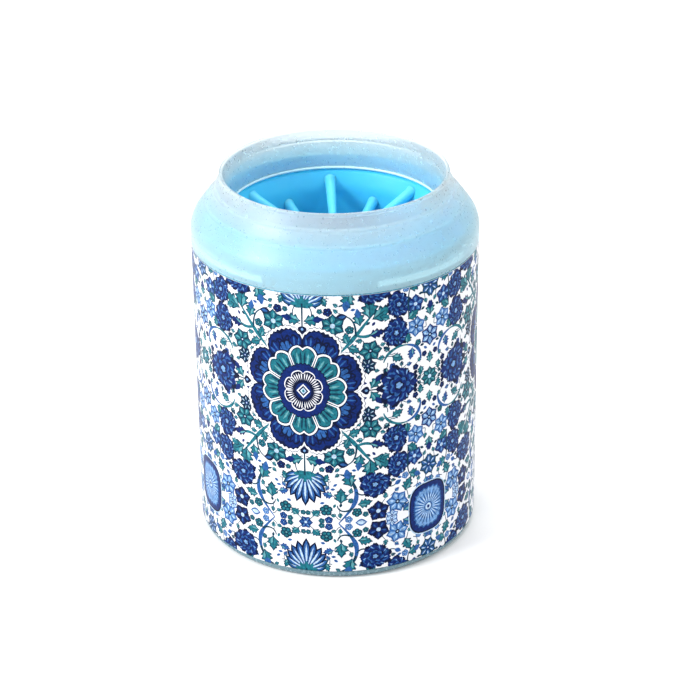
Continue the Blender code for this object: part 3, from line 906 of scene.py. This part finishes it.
def outer_flowers(art):
    """The flowers and vines towards the cell's far edge."""
    carnation(art, 33.4, 20.8, 4.7, 0.5)
    stroke(art, ((28.6, 10.0), (29.6, 14.0), (34.0, 16.0), (37.8, 15.2)), (0.4, 1.2, 0.8, 0.5), TEAL)
    stroke(art, ((37.8, 15.2), (41.6, 14.4), (43.6, 11.8), (43.4, 8.2)), (0.7, 1.3, 0.6), BLUE)
    stroke(art, ((34.0, 15.8), (34.6, 16.8), (34.2, 17.6), (33.8, 18.6)), (0.5, 0.5), DARK_TEAL, 4)
    leaf(art, 31.6, 12.2, -0.5, 4.8, 3.0)
    leaf(art, 37.6, 15.6, 1.3, 4.2, 2.4)
    leaf(art, 39.8, 13.8, -1.7, 4.6, 2.6, BLUE, NAVY)
    leaf(art, 43.2, 5.6, -1.4, 3.8, 2.4)
    disc(art, 41.2, 3.6, 0.8, DEEP, 8)
    art.take(41.2, 3.6, 0.8)
    blossom(art, 41.4, 21.4, 3.4, BLUE, SKY, PALE, DEEP, 6, 0.4)
    carnation(art, 34.4, 31.6, 4.3, 0.1)
    blossom(art, 41.0, 30.2, 3.2, NAVY, BLUE, SKY, PALE, 5, 0.3)
    leaf(art, 37.8, 25.0, 0.5, 5.2, 3.2)
    leaf(art, 31.0, 26.6, 2.6, 4.0, 2.6)
    leaf(art, 38.4, 36.4, 0.3, 5.2, 3.4, tip=BLUE)
    stroke(art, ((38.2, 25.6), (38.4, 29.0), (37.4, 33.0), (38.8, 36.8)), (0.4, 0.7, 0.4), DARK_TEAL)


def fill_gaps(art, rng):
    """Small leaves on stems, buds and specks where the ground is still bare, painted under the rest."""
    over = art.outlines
    art.outlines = []
    for _ in range(FILLER_TRIES):
        x = rng.uniform(0.5, CELL_WIDTH - 0.5)
        y = rng.uniform(0.5, CELL_HEIGHT - 0.5)
        room = art.free(x, y)
        if room < SMALLEST_FILLER:
            continue
        size = min(room, LARGEST_FILLER)
        kind = rng.random()
        angle = rng.uniform(0, TAU)
        if kind < 0.6 and size > 1.0:
            foot = Vector((x, y)) - Vector((math.cos(angle), math.sin(angle))) * size
            colour, shade = rng.choice(LEAF_INKS)
            back = angle + math.pi + rng.uniform(-0.5, 0.5)
            end = foot + Vector((math.cos(back), math.sin(back))) * rng.uniform(1.5, 3.5)
            bow = (foot + end) / 2 + Vector((rng.uniform(-1, 1), rng.uniform(-1, 1)))
            stroke(art, (foot, bow, bow, end), (0.28, 0.34), DARK_TEAL, 5, take=False)
            leaf(art, foot.x, foot.y, angle, size * 2.1, size * 1.35, colour, shade, take=False)
        elif kind < 0.92 and size > 1.0:
            rim, inner, glint = rng.choice(BUD_INKS)
            ring_of(art, x, y, 5, 0, size * 1.1, size * 1.15, rim, angle, 0.62, 5, 0.15)
            ring_of(art, x, y, 5, size * 0.2, size * 0.66, size * 0.55, inner, angle, 0.64, 3)
            ring_of(art, x, y, 5, 0, size * 0.5, size * 0.4, rim, angle + TAU / 10, 0.6, 3)
            disc(art, x, y, size * 0.18, glint, 6)
        elif kind < 0.3 or kind > 0.92:
            colour = rng.choice(SPECK_INKS)
            petal_from(art, x, y, angle, -0.9, 0.0, 1.9, 1.1, colour, 0.5, 3)
            size = SMALLEST_FILLER
        art.take(x, y, size + 0.12)
    art.outlines += over


def draw_cell():
    art = Drawing()
    diagonal_sprig(art)
    lower_vines(art)
    outer_flowers(art)
    axis_motifs(art)
    fill_gaps(art, random.Random(FILLER_SEED))
    return art


def column_edges(verts):
    """Adds the ends of the upright lines that let the cell bend round the cup, and returns their edges."""
    edges = []
    for k in range(1, COLUMNS):
        edges.append((len(verts), len(verts) + 1))
        verts.extend((Vector((k * COLUMN_PITCH, 0)), Vector((k * COLUMN_PITCH, CELL_HEIGHT))))
    return edges


def around(triangle):
    """The triangle's three edges, each with the triangle on its left."""
    return zip(triangle, triangle[1:] + triangle[:1])


def flatten(art):
    """The painted outlines cut into triangles that don't overlap, and the colour on top in each."""
    corners = [(0, 0), (CELL_WIDTH, 0), (CELL_WIDTH, CELL_HEIGHT), (0, CELL_HEIGHT)]
    outlines = [([Vector(c) for c in corners], FILM_WHITE)] + art.outlines
    verts = []
    faces = []
    for points, _ in outlines:
        faces.append(list(range(len(verts), len(verts) + len(points))))
        verts.extend(points)
    made = delaunay_2d_cdt(verts, [], faces, 1, 1e-4)
    kept = []
    colours = []
    for triangle, origin in zip(made[2], made[5]):
        if 0 in origin:
            kept.append(tuple(triangle))
            colours.append(outlines[max(origin)][1])
    return made[0], kept, colours


def simplify(points, triangles, colours):
    """The same coloured areas without the points and edges that lie inside one colour."""
    left = {edge: colour for triangle, colour in zip(triangles, colours) for edge in around(triangle)}
    seams = []
    for (a, b), colour in left.items():
        beyond = left.get((b, a))
        if beyond != colour and (beyond is None or a < b):
            seams.append((a, b))
    place = {k: n for n, k in enumerate(sorted({k for seam in seams for k in seam}))}
    verts = [points[k] for k in place]
    edges = [(place[a], place[b]) for a, b in seams]
    edges += column_edges(verts)
    made = delaunay_2d_cdt(verts, edges, [], 1, 1e-6)
    triangles = [tuple(t) for t in made[2]]
    beside = {}
    for (u, v), origins in zip(made[1], made[4]):
        for a, b in (seams[k] for k in origins if k < len(seams)):
            if (points[b] - points[a]).dot(made[0][v] - made[0][u]) < 0:
                a, b = b, a
            beside[u, v] = left.get((a, b))
            beside[v, u] = left.get((b, a))
    owner = {edge: n for n, triangle in enumerate(triangles) for edge in around(triangle)}
    colours = [None] * len(triangles)
    for edge, n in owner.items():
        colours[n] = colours[n] or beside.get(edge)
    waiting = [n for n, colour in enumerate(colours) if colour]
    while waiting:
        n = waiting.pop()
        for u, v in around(triangles[n]):
            other = owner.get((v, u))
            if other is not None and (u, v) not in beside and not colours[other]:
                colours[other] = colours[n]
                waiting.append(other)
    return np.array([tuple(p) for p in made[0]]), triangles, colours


def flat_sheet(cell):
    """The cell mirrored across and up and down and cut to the film's size, flat, with x along the film."""
    points, triangles, colours = cell
    bm = bmesh.new()
    layer = bm.loops.layers.float_color.new("print")
    length = TAU * WRAP_RADIUS
    first = math.floor(-length / 2 / CELL_WIDTH) - 1
    last = math.ceil(length / 2 / CELL_WIDTH) + 1
    for row in (-2, -1, 0):
        for column in range(first, last + 1):
            flip_x = column % 2
            flip_y = row % 2
            x = points[:, 0] if not flip_x else CELL_WIDTH - points[:, 0]
            y = points[:, 1] if not flip_y else CELL_HEIGHT - points[:, 1]
            x = x + column * CELL_WIDTH
            z = MEDALLION_Z + y + row * CELL_HEIGHT
            if x.max() < -length / 2 or x.min() > length / 2:
                continue
            if z.max() < WRAP_LOW_Z or z.min() > WRAP_HIGH_Z:
                continue
            verts = [bm.verts.new((a, b, 0)) for a, b in zip(x, z)]
            for triangle, colour in zip(triangles, colours):
                order = triangle if flip_x == flip_y else triangle[::-1]
                face = bm.faces.new([verts[i] for i in order])
                ink = 0.0 if colour == FILM_WHITE else 1.0
                for loop in face.loops:
                    loop[layer] = (*colour[:3], ink)
    bmesh.ops.remove_doubles(bm, verts=bm.verts, dist=0.002)
    end = length / 2 - FILM_SEAM
    cuts = (
        ((-end, 0, 0), (-1, 0, 0)),
        ((end, 0, 0), (1, 0, 0)),
        ((0, WRAP_LOW_Z, 0), (0, -1, 0)),
        ((0, WRAP_HIGH_Z, 0), (0, 1, 0)),
    )
    for place, outward in cuts:
        geometry = bm.verts[:] + bm.edges[:] + bm.faces[:]
        bmesh.ops.bisect_plane(bm, geom=geometry, plane_co=place, plane_no=outward, clear_outer=True)
    bmesh.ops.delete(bm, geom=[v for v in bm.verts if not v.link_faces], context="VERTS")
    return bm


def close_sheet(bm):
    """Gives the flat sheet its edges and a plain inner face, so that it is closed. Z is depth here."""
    layer = bm.loops.layers.float_color["print"]
    border = [e for e in bm.edges if e.is_boundary]
    made = bmesh.ops.extrude_edge_only(bm, edges=border)["geom"]
    inner = [g for g in made if isinstance(g, bmesh.types.BMVert)]
    added = [g for g in made if isinstance(g, bmesh.types.BMFace)]
    place = {vert: k for k, vert in enumerate(inner)}
    links = dict.fromkeys(e for vert in inner for e in vert.link_edges if all(v in place for v in e.verts))
    edges = [tuple(place[v] for v in e.verts) for e in links]
    ends = ({}, {})
    for vert, k in place.items():
        vert.co.z = -WRAP_THICK
        column = vert.co.x / COLUMN_PITCH
        for side, edge_z in zip(ends, (WRAP_LOW_Z, WRAP_HIGH_Z)):
            if abs(vert.co.y - edge_z) < 0.001 and abs(column - round(column)) < 0.001:
                side[round(column)] = k
    edges += [(ends[0][column], ends[1][column]) for column in sorted(ends[0]) if column in ends[1]]
    flat = [Vector(vert.co[:2]) for vert in inner]
    made = delaunay_2d_cdt(flat, edges, [], 1, 1e-5)
    for triangle in made[2]:
        added.append(bm.faces.new([inner[made[3][k][0]] for k in triangle]))
    for face in added:
        for loop in face.loops:
            loop[layer] = (*FILM_WHITE[:3], 0.0)


def roll(bm):
    """Wraps the flat film round the cup, with the medallion's axis at its own angle from the front."""
    for vert in bm.verts:
        angle = vert.co.x / WRAP_RADIUS + MEDALLION_ANGLE
        vert.co = turned(WRAP_RADIUS + vert.co.z, vert.co.y, angle)


def make_film(material):
    bm = flat_sheet(simplify(*flatten(draw_cell())))
    close_sheet(bm)
    roll(bm)
    finish_piece(bm, "film_sleeve", material, "cup", "printed_wrap")


# ---------------------------------------------------------------- stage


CAMERA_LENS = 116.9
CAMERA_SHIFT = (0.0046, 0.0153)
CAMERA_PLACE = (0, -0.735, 0.43685)
CAMERA_PITCH = math.radians(-26.69)
CAMERA_ROLL = -0.0115
FLOOR_SIZE = 6
FLOOR_Z = -0.0002
WORLD_STRENGTH = 0.9
# (name, place, target, size, power)
LIGHTS = (
    ("key", (-0.75, -0.35, 0.6), (0, 0, 0.12), 0.4, 9.0),
    ("fill", (0.7, -0.5, 0.5), (0, 0, 0.08), 0.6, 2.0),
    ("top", (0.05, 0.15, 0.9), (0, 0, 0.1), 0.4, 3.0),
)


def make_camera():
    data = bpy.data.cameras.new("camera")
    data.lens = CAMERA_LENS
    data.shift_x, data.shift_y = CAMERA_SHIFT
    data.clip_end = 20
    camera = bpy.data.objects.new("camera", data)
    pitch = Matrix.Rotation(math.radians(90) + CAMERA_PITCH, 4, "X")
    roll_turn = Matrix.Rotation(CAMERA_ROLL, 4, "Z")
    camera.matrix_world = Matrix.Translation(CAMERA_PLACE) @ pitch @ roll_turn
    bpy.context.scene.collection.objects.link(camera)
    bpy.context.scene.camera = camera


def make_floor():
    bm = bmesh.new()
    bmesh.ops.create_grid(bm, x_segments=1, y_segments=1, size=FLOOR_SIZE)
    mesh = bpy.data.meshes.new("floor")
    bm.to_mesh(mesh)
    bm.free()
    floor = bpy.data.objects.new("floor", mesh)
    floor.location.z = FLOOR_Z
    pale = (0.95, 0.95, 0.95, 1)
    made, _, _ = new_material("floor", Base_Color=pale, Roughness=0.9, Specular_IOR_Level=0.1)
    mesh.materials.append(made)
    bpy.context.scene.collection.objects.link(floor)


def area_light(name, place, target, size, power):
    data = bpy.data.lights.new(name, "AREA")
    data.size = size
    data.energy = power
    light = bpy.data.objects.new(name, data)
    light.location = place
    light.rotation_euler = (Vector(target) - Vector(place)).to_track_quat("-Z", "Y").to_euler()
    bpy.context.scene.collection.objects.link(light)


def make_lights():
    world = bpy.data.worlds.new("studio")
    world.use_nodes = True
    background = world.node_tree.nodes["Background"]
    background.inputs["Color"].default_value = (1, 1, 1, 1)
    background.inputs["Strength"].default_value = WORLD_STRENGTH
    bpy.context.scene.world = world
    for light in LIGHTS:
        area_light(*light)
    bpy.context.scene.view_settings.view_transform = "Standard"


make_camera()
make_floor()
make_lights()
make_cup(cup_material())
make_insert(silicone_material("silicone", srgb(58, 190, 240), srgb(76, 204, 244)))
make_bristles(silicone_material("bristle_silicone", srgb(80, 196, 236), srgb(100, 208, 240)))
make_collar(frosted_material("frosted_plastic", 0.74))
milky = frosted_material("milky_plastic", 0.1)
make_collar_lugs(milky)
make_tube_edge(milky)
make_film(print_material())
